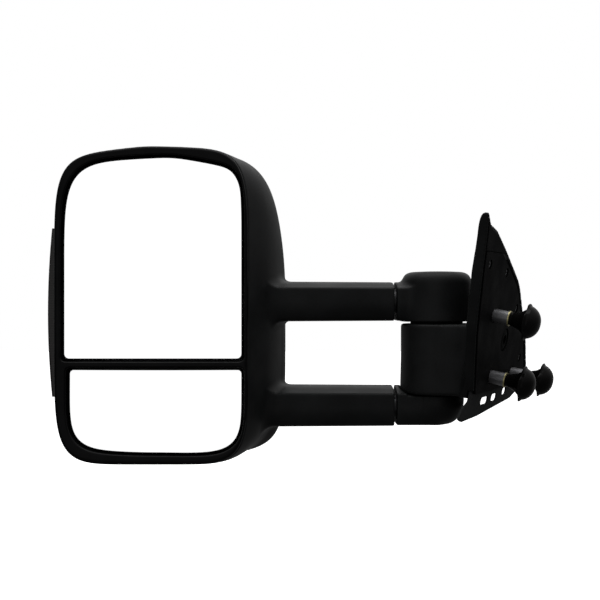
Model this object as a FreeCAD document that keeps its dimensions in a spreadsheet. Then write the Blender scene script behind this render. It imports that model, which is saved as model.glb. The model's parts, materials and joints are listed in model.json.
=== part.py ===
"""Telescoping, folding towing mirror for the left-hand door.

Frame: X inboard towards the car, Y forward, Z up, millimetres. The origin lies on the door face,
level with the fold axis. The sail group is drawn in the plane of the door face and the head group
about the centre of its bezel.
"""
import FreeCAD, Part
import math
import os
import re

import Sketcher
from FreeCAD import Placement, Rotation, Vector

SIZES = {
    # fold axis and the door face
    "fold_x": -62.7, "sail_yaw": 27, "sail_tilt": 11,
    # barrel of the base
    "barrel_radius": 35.5, "barrel_low": -38.5, "barrel_top": 30.5, "wall": 3,
    "core_radius": 19, "core_low": -36, "core_top": 26, "neck_radius": 26, "neck_gap": 1.9,
    # pivot
    "pivot_radius": 11, "pivot_bore": 8.5, "pivot_low": -62, "pivot_top": 70, "bush_radius": 14,
    "running_gap": 0.05, "spring_wire": 1.6, "spring_coil": 15.2,
    # sail: depths along the door normal
    "sail_depth": 12, "plate_back": -6, "plate_face": -3, "plate_inset": 3.3,
    # bosses, studs and hand knobs
    "boss_radius": 6.6, "boss_length": 14.3, "stud_radius": 4, "stud_length": 36,
    "washer_radius": 7.4, "washer_thick": 1.2, "knob_radius": 17.9,
    "knob_neck": 6.4, "knob_seat": 14.5, "knob_brim": 31.2, "knob_crown": 44.7,
    "flute_radius": 14, "flute_depth": 2.2, "gasket_hole": 7.6, "skirt_back": -4.6,
    # arms
    "arm_pitch": 103.7, "arm_height": 37.7, "arm_depth": 44, "lower_tube_drop": 2,
    "upper_arm_z": 52.85, "sleeve_end": -106.2, "collar_end": -104.2, "drum_radius": 34.5,
    "upper_drum_top": 82.5, "upper_drum_edge": 15, "lower_drum_radius": 27, "lower_drum_edge": 26,
    "lower_drum_top": -39.5, "lower_drum_sag": 1.2,
    "tube_radius": 12, "tube_wall": 2, "tube_root": -86, "tube_tip": -367,
    # head
    "head_x": -339.7, "head_z": 48.9, "head_half_width": 91.6, "head_half_height": 150,
    "bezel_front": -60, "bezel_flange": 5, "bezel_back": -44, "bezel_step": 3,
    "shell_front": -54.8, "shell_wall": 2.2,
    # glasses: depths across the car, then the tilt centres about the middle of the bezel
    "glass_face": -54.2, "glass_back": -52.2, "pad_back": -51.9, "rim_face": -54, "plate_rear": -48.8,
    "glass_gap": 2.95, "rim_width": 1.1, "tilt_y": -42, "wide_radius": 1000, "wide_apex": -56.4,
    "wide_back": -50.9,
    "upper_tilt_x": 1.7, "upper_tilt_z": 44, "lower_tilt_x": 4.5, "lower_tilt_z": -99.8,
    "pin_radius": 2, "pin_reach": 17, "ear_near": 13.5, "ear_far": 16.5, "ear_half": 3.5,
    "jack_lever": 28, "jack_radius": 3, "jack_cup": 4.3,
    # actuator and support frame
    "actuator_front": -33.5, "actuator_seam": -31.5, "actuator_radius": 38,
    "frame_front": -20.5, "frame_back": -18, "post_radius": 5, "screw_radius": 2,
    # outboard indicator
    "lamp_front": -42, "lamp_rear": -16, "lamp_low": -89, "lamp_top": 75, "lamp_bulge": -103,
    "lamp_edge": -99, "lamp_seat": -93, "lamp_tray": 7.2, "lamp_floor": 1.6,
}

doc = FreeCAD.newDocument("towing_mirror")
sheet = doc.addObject("Spreadsheet::Sheet", "sizes")
for row, (word, value) in enumerate(SIZES.items(), start=1):
    sheet.set("A%d" % row, word)
    sheet.set("B%d" % row, str(value))
    sheet.setAlias("B%d" % row, word)
doc.recompute()

WORDS = re.compile(r"[a-z][a-z_]*")


def rule(text):
    """The expression that reads the sheet: every alias in the text gets the sheet's name."""
    def named(word):
        return "sizes." + word.group() if word.group() in SIZES else word.group()
    return WORDS.sub(named, str(text))


def size(word):
    """One driving dimension, as a plain number."""
    return float(sheet.get(word))


def bind(item, **rules):
    """Bind properties of a document object to the sheet."""
    for name, text in rules.items():
        item.setExpression(name, rule(text))
    return item


def at(item, x=0, y=0, z=0, turn=None):
    """Place a document object, with each coordinate bound to the sheet."""
    if turn is not None:
        item.Placement = Placement(Vector(), turn)
    for letter, text in zip("xyz", (x, y, z)):
        item.setExpression("Placement.Base." + letter, rule(text))
    return item


ALONG_X = Rotation(Vector(0, 1, 0), 90)
SAIL = Rotation(Vector(0, 0, 1), 90 - size("sail_yaw")).multiply(
    Rotation(Vector(1, 0, 0), 90 + size("sail_tilt")))


def shaped(name, shape):
    """A piece whose shape is worked out below from the sheet's sizes."""
    item = doc.addObject("Part::Feature", name)
    item.Shape = shape
    return item


def body(name):
    return doc.addObject("PartDesign::Body", name)


def sketch(owner, name, role):
    """An empty sketch on one of the body's own origin planes."""
    item = owner.newObject("Sketcher::SketchObject", name)
    plane = [part for part in owner.Origin.OriginFeatures if part.Role == role][0]
    item.AttachmentSupport = (plane, [""])
    item.MapMode = "FlatFace"
    return item


def circle(item, radius, x=0, y=0):
    """A circle whose radius and centre follow the sheet."""
    index = item.addGeometry(Part.Circle(Vector(0, 0, 0), Vector(0, 0, 1), 5), False)
    row = item.addConstraint(Sketcher.Constraint("Radius", index, 5))
    item.setExpression("Constraints[%d]" % row, rule(radius))
    if x == 0 and y == 0:
        item.addConstraint(Sketcher.Constraint("Coincident", index, 3, -1, 1))
        return index
    for kind, text in (("DistanceX", x), ("DistanceY", y)):
        row = item.addConstraint(Sketcher.Constraint(kind, -1, 1, index, 3, 1))
        item.setExpression("Constraints[%d]" % row, rule(text))
    return index


def outline(item, corners):
    """A closed run of lines; each corner's two coordinates follow the sheet."""
    first = item.GeometryCount
    count = len(corners)
    guess = [Vector(math.cos(2 * math.pi * i / count), math.sin(2 * math.pi * i / count), 0)
             for i in range(count)]
    for i in range(count):
        item.addGeometry(Part.LineSegment(guess[i], guess[(i + 1) % count]), False)
    for i in range(count):
        item.addConstraint(Sketcher.Constraint("Coincident", first + i, 2, first + (i + 1) % count, 1))
    for i, corner in enumerate(corners):
        for kind, text in zip(("DistanceX", "DistanceY"), corner):
            if text == 0:
                axis = -2 if kind == "DistanceX" else -1
                item.addConstraint(Sketcher.Constraint("PointOnObject", first + i, 1, axis))
                continue
            row = item.addConstraint(Sketcher.Constraint(kind, -1, 1, first + i, 1, 1))
            item.setExpression("Constraints[%d]" % row, rule(text))


def turned(name, corners):
    """A body of revolution about its own Z axis; corners are (radius, height)."""
    owner = body(name)
    profile = sketch(owner, name + "_profile", "XZ_Plane")
    outline(profile, corners)
    turn = owner.newObject("PartDesign::Revolution", name + "_turn")
    turn.Profile = profile
    turn.ReferenceAxis = (profile, ["V_Axis"])
    turn.Angle = 360
    return owner


def ring(name, outer, inner, low, high):
    """A plain ring about the body's own Z axis."""
    return turned(name, [(inner, low), (outer, low), (outer, high), (inner, high)])


def padded(name, draw, low, high):
    """A body padded from its XY plane, from height low to height high."""
    owner = body(name)
    profile = sketch(owner, name + "_profile", "XY_Plane")
    bind(profile, **{"AttachmentOffset.Base.z": low})
    draw(profile)
    pad = owner.newObject("PartDesign::Pad", name + "_pad")
    pad.Profile = profile
    bind(pad, Length="(%s) - (%s)" % (high, low))
    return owner


def rounded(corners, place):
    """Closed wire of straight runs with a tangent arc at each corner; corners are (u, v, radius)."""
    count = len(corners)
    ends = []
    for i, (u, v, radius) in enumerate(corners):
        here = Vector(u, v, 0)
        back = Vector(corners[i - 1][0], corners[i - 1][1], 0) - here
        ahead = Vector(corners[(i + 1) % count][0], corners[(i + 1) % count][1], 0) - here
        back.normalize()
        ahead.normalize()
        half = back.getAngle(ahead) / 2
        middle = back + ahead
        middle.normalize()
        reach = radius / math.tan(half)
        crown = here + middle * (radius / math.sin(half) - radius)
        ends.append((here + back * reach, crown, here + ahead * reach))
    edges = []
    for i, (start, crown, end) in enumerate(ends):
        edges.append(Part.Arc(place(start), place(crown), place(end)).toShape())
        edges.append(Part.LineSegment(place(end), place(ends[(i + 1) % count][0])).toShape())
    return Part.Wire(edges)


# Width of the rounded middle of a brow.
BROW = 15


def oval_point(angle, half_wide, half_high, square):
    """A point of a super-ellipse about its centre, at a polar angle."""
    wide = abs(math.cos(angle)) / half_wide
    high = abs(math.sin(angle)) / half_high
    reach = (wide ** square + high ** square) ** (-1 / square)
    return reach * math.cos(angle), reach * math.sin(angle)


def sagged(dx, height, high, drops):
    """Height of an arched top whose brow falls away to either side; drops holds the two slopes."""
    fall = drops[0 if dx < 0 else 1] * (math.hypot(dx, BROW) - BROW)
    return height - fall * max(0, min(1, 2 * height / high))


def oval(left, right, low, top, squares, y, drops=(0, 0), steps=60):
    """Closed smooth outline in the plane y: four quarter super-ellipses about one centre.

    squares holds the exponents of the quarters: upper right, upper left, lower left, lower right.
    drops holds the slopes of the brow, outboard and inboard."""
    middle_x = (left + right) / 2
    middle_z = (low + top) / 2
    high = (top - low) / 2
    points = []
    for i in range(steps):
        angle = 2 * math.pi * i / steps
        quarter = min(3, int(4 * i / steps))
        dx, dz = oval_point(angle, (right - left) / 2, high, squares[quarter])
        points.append(Vector(middle_x + dx, y, middle_z + sagged(dx, dz, high, drops)))
    curve = Part.BSplineCurve()
    curve.interpolate(Points=points, PeriodicFlag=True)
    return Part.Wire([curve.toShape()])


def arch(left, middle, right, base, crown, squares, drops, y, corner, foot, steps=36):
    """Glass outline: an arched end from base to crown, straight sides and a square end at foot."""
    side = 1 if crown > base else -1
    high = abs(crown - base)
    points = []
    for i in range(steps + 1):
        angle = math.pi * i / steps
        inboard = 2 * i < steps
        half = right - middle if inboard else middle - left
        dx, dz = oval_point(angle, half, high, squares[0] if inboard else squares[1])
        points.append(Vector(middle + dx, y, base + side * sagged(dx, dz, high, drops)))
    curve = Part.BSplineCurve()
    curve.interpolate(Points=points, InitialTangent=Vector(0, 0, side), FinalTangent=Vector(0, 0, -side))
    inner = foot + side * corner
    slant = corner * (1 - math.sqrt(0.5))
    cut = foot + side * slant
    near = [Vector(left, y, inner), Vector(left + slant, y, cut), Vector(left + corner, y, foot)]
    far = [Vector(right - corner, y, foot), Vector(right - slant, y, cut), Vector(right, y, inner)]
    edges = [
        curve.toShape(),
        Part.LineSegment(points[-1], near[0]).toShape(),
        Part.Arc(*near).toShape(),
        Part.LineSegment(near[2], far[0]).toShape(),
        Part.Arc(*far).toShape(),
        Part.LineSegment(far[2], points[0]).toShape(),
    ]
    return Part.Wire(edges)


def slab(wire, direction):
    """The solid that a closed flat wire sweeps along a direction."""
    return Part.Face(wire).extrude(direction)


NODES = {}


def node(name, item, x=0, y=0, z=0, turn=None):
    """Name a finished sub-part and place it."""
    item.Label = name
    at(item, x, y, z, turn)
    NODES[name] = item
    return item


def on_axis(name, item):
    """A sub-part that sits on the fold axis."""
    return node(name, item, x="fold_x")


def in_head(name, item, x=0, y=0, z=0, turn=None):
    """A sub-part drawn about the middle of the bezel."""
    return node(name, item, "head_x + (%s)" % x, y, "head_z + (%s)" % z, turn)


def on_sail(name, item):
    """A sub-part drawn in the plane of the door face: along it, up it and out of it."""
    return node(name, item, turn=SAIL)


# ---------------------------------------------------------------- base: cover, bracket and gasket

COVER_EDGE = [
    (-121, 136, 1.5), (-113, 112, 40), (-106, 80, 80), (-91, 25, 80), (-66, -28, 40), (-60, -40, 4),
    (109, -40, 8), (128.5, -22, 6), (101.5, 11, 60), (32, 72, 90), (-39, 103, 90), (-81, 119.5, 40),
    (-105, 124, 5)]
SKIRT_EDGE = [
    (-63, -34, 1), (-66, -44, 2), (-81, -50, 1.5), (-88, -59, 2), (-76, -62.5, 5), (-28, -61.5, 60),
    (28, -57.5, 60), (86, -53.5, 30), (104.5, -48.5, 8), (122.5, -28, 5), (108, -22, 1)]
GASKET_EDGE = [
    (-106, 99.5, 2), (-102, 79, 60), (-87, 25, 60), (-62, -28, 20), (-57, -37, 4), (91, -37, 12),
    (105, -22, 8), (89, 8, 40), (24, 67, 80), (-45, 96, 60), (-54, 99.5, 4)]
# The horn thins towards its tip: height up the sail and depth of its outboard face.
HORN = [(80, -12), (100, -10.8), (124, -9.8), (130, -8.2), (134, -5.4), (137, -1.2)]
PLATE_TOP = 99
SLOTS = [(-11.6, -47.6, 24), (21.9, -47.1, 19), (58, -43.6, 14)]
SLOT_HEIGHT = 8
BOSSES = [(-44, 40), (-15, -22), (61, -23.5)]
COVER_SCREWS = [(-88, 88), (-28, 82), (34, 46), (84, -8)]
GROMMET = (10, 14)


def flat(point):
    return Vector(point.x, point.y, 0)


def raised(low, high):
    """Bring a sail outline to one depth and sweep it to another."""
    def solid(wire):
        moved = wire.copy()
        moved.translate(Vector(0, 0, low))
        return slab(moved, Vector(0, 0, high - low))
    return solid


def to_row(shape):
    """A shape drawn on the sail, brought into the part's own frame."""
    shape.Placement = Placement(Vector(), SAIL)
    return shape


def web(inset):
    """The hollow neck that runs from the barrel to the sail, drawn smaller by an inset."""
    side = 35.2 - inset
    low = size("barrel_low") + inset
    top = size("barrel_top") - inset
    start_x = size("fold_x") + 4.7
    near = [Vector(start_x, -side, low), Vector(start_x, side, low), Vector(start_x, side, top),
            Vector(start_x, -side, top)]
    depth = -10 if inset == 0 else -6.5
    corners = [(-61 + inset, -37 + inset), (40 - inset, -37 + inset), (40 - inset, 29 - inset),
               (-89 + inset, 29 - inset)]
    far = [SAIL.multVec(Vector(a, b, depth)) for a, b in corners]
    return Part.makeLoft([Part.makePolygon(near + near[:1]), Part.makePolygon(far + far[:1])], True, True)


def horn_gap(shift):
    """Everything outboard of the horn's thinning face, moved inboard by a shift."""
    corners = [(b, n + shift) for b, n in HORN] + [(160, 30), (160, -40), (80, -40)]
    points = [Vector(-200, b, n) for b, n in corners]
    return slab(Part.makePolygon(points + points[:1]), Vector(400, 0, 0))


def base_cover():
    depth = -size("sail_depth")
    wall = size("wall")
    edge = rounded(COVER_EDGE, flat)
    sail = raised(depth, -1)(edge)
    outboard = [e for e in sail.Edges if abs(e.BoundBox.ZMax - depth) < 1e-6]
    sail = sail.makeFillet(3, outboard)
    middle = Vector(size("fold_x"), 0, size("barrel_low"))
    barrel = Part.makeCylinder(size("barrel_radius"), size("barrel_top") - size("barrel_low"), middle)
    rims = [e for e in barrel.Edges if len(e.Vertexes) == 1]
    barrel = barrel.makeFillet(2.2, rims)
    outer = to_row(sail).fuse([barrel, web(0)])
    hollow = Part.Face(edge).makeOffset2D(-wall)
    hollow.translate(Vector(0, 0, depth + wall))
    hollow = to_row(hollow.extrude(Vector(0, 0, 20)).cut(horn_gap(wall)))
    low = size("barrel_low") + wall
    top = size("barrel_top") - wall
    bore = Part.makeCylinder(size("barrel_radius") - wall, top - low, Vector(size("fold_x"), 0, low))
    neck = Part.makeCylinder(size("neck_radius") + 1, 20, Vector(size("fold_x"), 0, top - 5))
    foot = Part.makeCylinder(24, 20, Vector(size("fold_x"), 0, low - 15))
    skirt_gap = to_row(Part.makeBox(190, 12, 10, Vector(-68, -48, size("plate_back") - 0.2)))
    skirt = Part.Face(rounded(SKIRT_EDGE, flat)).makeOffset2D(0.25)
    skirt.translate(Vector(0, 0, size("plate_back") - 0.2))
    skirt_notch = to_row(skirt.extrude(Vector(0, 0, 20)))
    shape = outer.cut([hollow, bore, web(wall), neck, foot, skirt_gap, skirt_notch])
    for a, b in COVER_SCREWS:
        post = Part.makeCylinder(3.6, 4, Vector(a, b, depth + 1))
        pilot = Part.makeCylinder(1.5, 3.4, Vector(a, b, depth + 2))
        shape = shape.fuse(to_row(post)).cut(to_row(pilot))
    return shape.cut(to_row(horn_gap(0))).removeSplitter()


def base_bracket():
    back = size("plate_back")
    face = size("plate_face")
    inside = Part.Face(rounded(COVER_EDGE, flat)).makeOffset2D(-size("plate_inset"))
    inside.translate(Vector(0, 0, back))
    plate = inside.extrude(Vector(0, 0, face - back))
    plate = plate.cut(Part.makeBox(400, 60, 40, Vector(-200, -96, -20)))
    plate = plate.cut(Part.makeBox(400, 60, 40, Vector(-200, PLATE_TOP, -20)))
    plate = plate.fuse(raised(size("skirt_back"), face)(rounded(SKIRT_EDGE, flat)))
    for a, b, wide in SLOTS:
        half = wide / 2
        tall = SLOT_HEIGHT / 2
        corner = tall - 0.4
        slot = [(a - half, b - tall, corner), (a + half, b - tall, corner), (a + half, b + tall, corner),
                (a - half, b + tall, corner)]
        plate = plate.cut(raised(back - 1, face + 1)(rounded(slot, flat)))
    for a, b in COVER_SCREWS:
        plate = plate.cut(Part.makeCylinder(1.8, 10, Vector(a, b, back - 2)))
    for a, b in BOSSES:
        plate = plate.cut(Part.makeCylinder(size("stud_radius") + 0.05, 10, Vector(a, b, back - 2)))
    plate = plate.cut(Part.makeCylinder(9.05, 10, Vector(GROMMET[0], GROMMET[1], back - 2)))
    core_low = size("core_low")
    core_high = size("core_top")
    middle = Vector(size("fold_x"), 0, core_low)
    core = Part.makeCylinder(size("core_radius"), core_high - core_low, middle)
    rib = Part.makeBox(150, 20, 52, Vector(size("fold_x"), -10, -30))
    floor = Part.makeBox(150, 44, 8, Vector(size("fold_x"), -22, -30))
    behind = to_row(Part.makeBox(600, 600, 300, Vector(-300, -300, back + 0.5 - 300)))
    ribs = rib.fuse(floor).common(behind)
    harness = Part.makeCylinder(7, 60, Vector(GROMMET[0], GROMMET[1], -65))
    bore = Part.makeCylinder(size("pivot_radius") + size("running_gap"), 90, Vector(size("fold_x"), 0, -45))
    sockets = [to_row(Part.makeCylinder(9.3, 4, Vector(GROMMET[0], GROMMET[1], back - 3)))]
    for a, b in BOSSES:
        sockets.append(to_row(Part.makeCylinder(6.3, 3, Vector(a, b, back - 3))))
        sockets.append(to_row(Part.makeCylinder(size("stud_radius") + 0.05, 5, Vector(a, b, back - 3))))
    shape = to_row(plate).fuse([core, ribs]).cut([bore, to_row(harness)] + sockets)
    return shape.removeSplitter()


def door_gasket():
    face = raised(size("plate_face"), 0)(rounded(GASKET_EDGE, flat))
    for a, b in BOSSES:
        face = face.cut(Part.makeCylinder(size("gasket_hole"), 10, Vector(a, b, -5)))
    for a, b in COVER_SCREWS:
        face = face.cut(Part.makeCylinder(4.6, 10, Vector(a, b, -5)))
    return face.cut(Part.makeCylinder(12, 10, Vector(GROMMET[0], GROMMET[1], -5)))


node("base_cover", shaped("cover", base_cover()))
node("base_bracket", shaped("bracket", base_bracket()))
on_sail("door_gasket", shaped("gasket", door_gasket()))


def screw(place, turn, head, head_high, shank, length):
    """A pan-head screw: the head stands out along local Z and the shank runs back from zero."""
    shape = Part.makeCylinder(head, head_high).fuse(Part.makeCylinder(shank, length, Vector(0, 0, -length)))
    rims = [e for e in shape.Edges if len(e.Vertexes) == 1 and abs(e.Vertexes[0].Z - head_high) < 1e-6]
    shape = shape.makeFillet(head_high * 0.45, rims)
    shape = shape.cut(Part.makeBox(head, head / 3, head_high, Vector(-head / 2, -head / 6, head_high * 0.5)))
    shape = shape.cut(Part.makeBox(head / 3, head, head_high, Vector(-head / 6, -head / 2, head_high * 0.5)))
    shape.Placement = Placement(place, turn)
    return shape


UPRIGHT = Rotation()
screws = [screw(Vector(a, b, size("plate_face")), UPRIGHT, 3.4, 2, 1.45, 6.5) for a, b in COVER_SCREWS]
on_sail("cover_screws", shaped("cover_screw_set", Part.makeCompound(screws)))

grommet = turned("grommet", [
    (5, "plate_back - 2"), (9, "plate_back - 2"), (9, "plate_face"), (11.5, "plate_face"),
    (11.5, -1.2), (7, 0), (5, 0)])
spot = SAIL.multVec(Vector(GROMMET[0], GROMMET[1], 0))
node("cable_grommet", grommet, spot.x, spot.y, spot.z, SAIL)

# ---------------------------------------------------------------- base: fixings to the door


def boss(index, a, b):
    """Spigot that fills the hole in the door skin: a turned sleeve pressed over the stud's root."""
    item = ring("boss_%d" % index, "boss_radius", "stud_radius + running_gap", "plate_face", "boss_length")
    spot = SAIL.multVec(Vector(a, b, 0))
    node("mounting_boss_%d" % index, item, spot.x, spot.y, spot.z, SAIL)


def stud(index, a, b):
    """Threaded stud, headed behind the bracket plate."""
    item = turned("stud_%d" % index, [
        (0, "plate_back - 2.6"), (6, "plate_back - 2.6"), (6, "plate_back"), ("stud_radius", "plate_back"),
        ("stud_radius", "stud_length - 1"), ("stud_radius - 1", "stud_length"), (0, "stud_length")])
    spot = SAIL.multVec(Vector(a, b, 0))
    node("mounting_stud_%d" % index, item, spot.x, spot.y, spot.z, SAIL)


def knob(index, a, b):
    """Domed hand knob with a four-lobed brim, threaded over its stud, and its plated washer."""
    spot = SAIL.multVec(Vector(a, b, 0))
    seat = "knob_seat + washer_thick"
    plain = ring("washer_%d" % index, "washer_radius", "stud_radius + 0.3", "knob_seat", seat)
    node("knob_washer_%d" % index, plain, spot.x, spot.y, spot.z, SAIL)
    grip = body("knob_%d" % index)
    profile = sketch(grip, "knob_profile_%d" % index, "XZ_Plane")
    outline(profile, [
        ("stud_radius + running_gap", seat), ("knob_neck", seat), ("knob_neck", seat + " + 3"),
        ("knob_radius - 4.6", "knob_brim"), ("knob_radius", "knob_brim + 0.4"),
        ("knob_radius", "knob_brim + 1.4"), ("knob_radius - 2.2", "knob_brim + 2.6"),
        ("knob_radius - 4.3", "knob_crown - 6.6"), ("knob_radius - 8.8", "knob_crown - 2.4"),
        (4.6, "knob_crown - 0.4"), (2, "knob_crown"), (0, "knob_crown"),
        (0, "stud_length + 0.5"), ("stud_radius + running_gap", "stud_length + 0.5")])
    turn = grip.newObject("PartDesign::Revolution", "knob_turn_%d" % index)
    turn.Profile = profile
    turn.ReferenceAxis = (profile, ["V_Axis"])
    turn.Angle = 360
    doc.recompute()
    solid = turn.Shape.Volume
    flute = sketch(grip, "knob_flute_%d" % index, "XY_Plane")
    corner = "(knob_radius + flute_radius - flute_depth) * %.4f" % math.sqrt(0.5)
    circle(flute, "flute_radius", corner, corner)
    bind(flute, **{"AttachmentOffset.Base.z": "knob_brim - 1"})
    groove = grip.newObject("PartDesign::Pocket", "knob_groove_%d" % index)
    groove.Profile = flute
    groove.Reversed = True
    bind(groove, Length="20")
    doc.recompute()
    if groove.Shape.Volume >= solid:
        raise RuntimeError("the knob's flute cuts nothing")
    flutes = grip.newObject("PartDesign::PolarPattern", "knob_flutes_%d" % index)
    flutes.Originals = [groove]
    flutes.Axis = (profile, ["V_Axis"])
    flutes.Angle = 360
    flutes.Occurrences = 4
    grip.Tip = flutes
    node("hand_knob_%d" % index, grip, spot.x, spot.y, spot.z, SAIL)


for index, (a, b) in enumerate(BOSSES, start=1):
    boss(index, a, b)
    stud(index, a, b)
    knob(index, a, b)

# ---------------------------------------------------------------- fold pivot

on_axis("pivot_tube", ring("tube", "pivot_radius", "pivot_bore", "pivot_low", "pivot_top"))
on_axis("detent_ring_fixed", ring("detent_fixed", 24, "pivot_radius + 0.2", "core_top", "core_top + 3"))
on_axis("detent_ring_moving", ring("detent_moving", "neck_radius", "pivot_radius + 0.3",
                                   "core_top + 3.1", "barrel_top + neck_gap"))
KNUCKLE_FLOOR = "barrel_top + neck_gap + 7.4"
on_axis("upper_pivot_bush", ring("upper_bush", "bush_radius", "pivot_radius + running_gap",
                                 "barrel_top + neck_gap", KNUCKLE_FLOOR))
on_axis("lower_pivot_bush", ring("lower_bush", "bush_radius", "pivot_radius + running_gap",
                                 "core_low - 14", "core_low - 0.4"))
on_axis("thrust_washer", ring("thrust", 20, "pivot_radius + running_gap", KNUCKLE_FLOOR + " + 0.2",
                              KNUCKLE_FLOOR + " + 2.2"))
on_axis("spring_seat", ring("seat", 19, "pivot_radius + running_gap", 60, 62.4))
on_axis("pivot_circlip", ring("circlip", 14.5, "pivot_radius + running_gap", -55, -53))


def pivot_nut():
    """Hexagon lock nut at the head of the pivot tube."""
    def draw(profile):
        flat_to_corner = 18.5
        corners = []
        for i in range(6):
            angle = math.radians(60 * i)
            corners.append((round(flat_to_corner * math.cos(angle), 3),
                            round(flat_to_corner * math.sin(angle), 3)))
        outline(profile, corners)
        circle(profile, "pivot_radius + running_gap")
    return padded("nut", draw, "62.4", "pivot_top - 1")


def fold_spring():
    """Close-wound compression spring round the pivot tube."""
    wire_radius = size("spring_wire")
    coil_radius = size("spring_coil")
    rise = 60 - (size("barrel_top") + size("neck_gap") + 9.9) - 2 * wire_radius
    path = Part.makeHelix(rise / 3, rise, coil_radius)
    section = Part.Wire([Part.Circle(Vector(coil_radius, 0, 0), Vector(0, 1, 0), wire_radius).toShape()])
    return Part.Wire(path).makePipeShell([section], True, True)


on_axis("pivot_nut", pivot_nut())
node("fold_spring", shaped("spring", fold_spring()), "fold_x", 0, "barrel_top + neck_gap + 9.75 + spring_wire")

# ---------------------------------------------------------------- arms


# Half section of an arm seen from its open end: forward, up and the radius of each corner.
ARM_CORNERS = [
    (-22, 12.4, 1.5), (-22, -9, 10), (-17, -18.85, 5), (17, -18.85, 5), (22, -9, 10), (22, 12.4, 4),
    (15, 18.85, 6), (8, 18.85, 20), (-6, 17.5, 20)]


def arm_section(x, inset, middle_z=0):
    """Section of an arm in the plane x: crowned top and chamfered underside, drawn smaller by an inset."""
    wire = rounded(ARM_CORNERS, lambda point: Vector(x, point.x, middle_z + point.y))
    if inset == 0:
        return wire
    return Part.Face(wire).makeOffset2D(-inset).Wires[0]


def lower_arm_z():
    return size("upper_arm_z") - size("arm_pitch")


def lower_tube_z():
    """The lower tube lies a little below the middle of its arm, to pass under the barrel."""
    return lower_arm_z() - size("lower_tube_drop")


def drum(radius, low_z, top_z, edge_radius, high):
    """A drum about Z whose upper or lower rim is rounded."""
    slant = edge_radius * (1 - math.sqrt(0.5))
    if high:
        rim = [Vector(radius, 0, top_z - edge_radius), Vector(radius - slant, 0, top_z - slant),
               Vector(radius - edge_radius, 0, top_z)]
        edges = [
            Part.LineSegment(Vector(0, 0, low_z), Vector(radius, 0, low_z)).toShape(),
            Part.LineSegment(Vector(radius, 0, low_z), rim[0]).toShape(),
            Part.Arc(*rim).toShape(),
            Part.LineSegment(rim[2], Vector(0, 0, top_z)).toShape(),
            Part.LineSegment(Vector(0, 0, top_z), Vector(0, 0, low_z)).toShape(),
        ]
    else:
        rim = [Vector(radius - edge_radius, 0, low_z), Vector(radius - slant, 0, low_z + slant),
               Vector(radius, 0, low_z + edge_radius)]
        edges = [
            Part.LineSegment(Vector(0, 0, low_z), rim[0]).toShape(),
            Part.Arc(*rim).toShape(),
            Part.LineSegment(rim[2], Vector(radius, 0, top_z)).toShape(),
            Part.LineSegment(Vector(radius, 0, top_z), Vector(0, 0, top_z)).toShape(),
            Part.LineSegment(Vector(0, 0, top_z), Vector(0, 0, low_z)).toShape(),
        ]
    return Part.Face(Part.Wire(edges)).revolve(Vector(0, 0, 0), Vector(0, 0, 1), 360)


def collar(middle_z):
    """Socket that carries an arm tube, from its open end to the fold axis (drawn about that axis)."""
    start = size("collar_end") - size("fold_x")
    return slab(arm_section(start, 0, middle_z), Vector(-start, 0, 0))


def tube_socket(middle_z):
    """Bore of a collar for its tube and the wire passage behind it."""
    start = size("collar_end") - size("fold_x")
    root = size("tube_root") - size("fold_x")
    radius = size("tube_radius") + size("running_gap")
    bore = Part.makeCylinder(radius, root - start + 1, Vector(start - 1, 0, middle_z), Vector(1, 0, 0))
    wires = Part.makeCylinder(6, 30, Vector(start, 0, middle_z), Vector(1, 0, 0))
    return [bore, wires]


def set_screw_hole(middle_z):
    """Tapped hole under a collar for the screw that clamps the tube."""
    low = middle_z - size("arm_height") / 2
    return Part.makeCylinder(2.5, 8, Vector(SET_SCREW_X - size("fold_x"), 0, low - 1))


SET_SCREW_X = -98.5


def upper_knuckle():
    low = size("barrel_top") + size("neck_gap")
    top = size("upper_drum_top")
    floor = low + 7.4
    shape = drum(size("drum_radius"), low, top, size("upper_drum_edge"), True)
    shape = shape.fuse(collar(size("upper_arm_z")))
    hollow = Part.makeCylinder(24, top - 4 - floor, Vector(0, 0, floor))
    bush = Part.makeCylinder(size("bush_radius") + 0.02, 20, Vector(0, 0, low - 10))
    tools = [hollow, bush, set_screw_hole(size("upper_arm_z"))] + tube_socket(size("upper_arm_z"))
    return shape.cut(tools).removeSplitter()


def lower_knuckle():
    top = size("lower_drum_top")
    low = lower_arm_z() - size("arm_height") / 2 - size("lower_drum_sag")
    shape = drum(size("lower_drum_radius"), low, top, size("lower_drum_edge"), False)
    arm = collar(lower_arm_z())
    swing = Part.makeCylinder(size("barrel_radius") + 1.4, 40, Vector(0, 0, top))
    arm = arm.cut(swing)
    boss_top = size("core_low") - 0.4
    hub = Part.makeCylinder(22, boss_top - top + 2, Vector(0, 0, top - 2))
    shape = shape.fuse([arm, hub])
    bush = Part.makeCylinder(size("bush_radius") + 0.02, 40, Vector(0, 0, size("core_low") - 14))
    hollow = Part.makeCone(15, 21, 12, Vector(0, 0, -63))
    throat = Part.makeCylinder(12.05, 20, Vector(0, 0, -75))
    passage = Part.makeCylinder(size("pivot_radius") + 0.4, 20, Vector(0, 0, -65))
    tools = [bush, hollow, throat, passage, set_screw_hole(lower_arm_z())] + tube_socket(lower_tube_z())
    return shape.cut(tools).removeSplitter()


def arm_tube(name, middle_z):
    item = ring(name, "tube_radius", "tube_radius - tube_wall", "tube_tip", "tube_root")
    return node(name, item, 0, 0, middle_z, ALONG_X)


def tube_stop(name, middle_z):
    item = ring(name, "tube_radius + 2.5", "tube_radius + running_gap", "tube_tip", "tube_tip + 4")
    return node(name, item, 0, 0, middle_z, ALONG_X)


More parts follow.
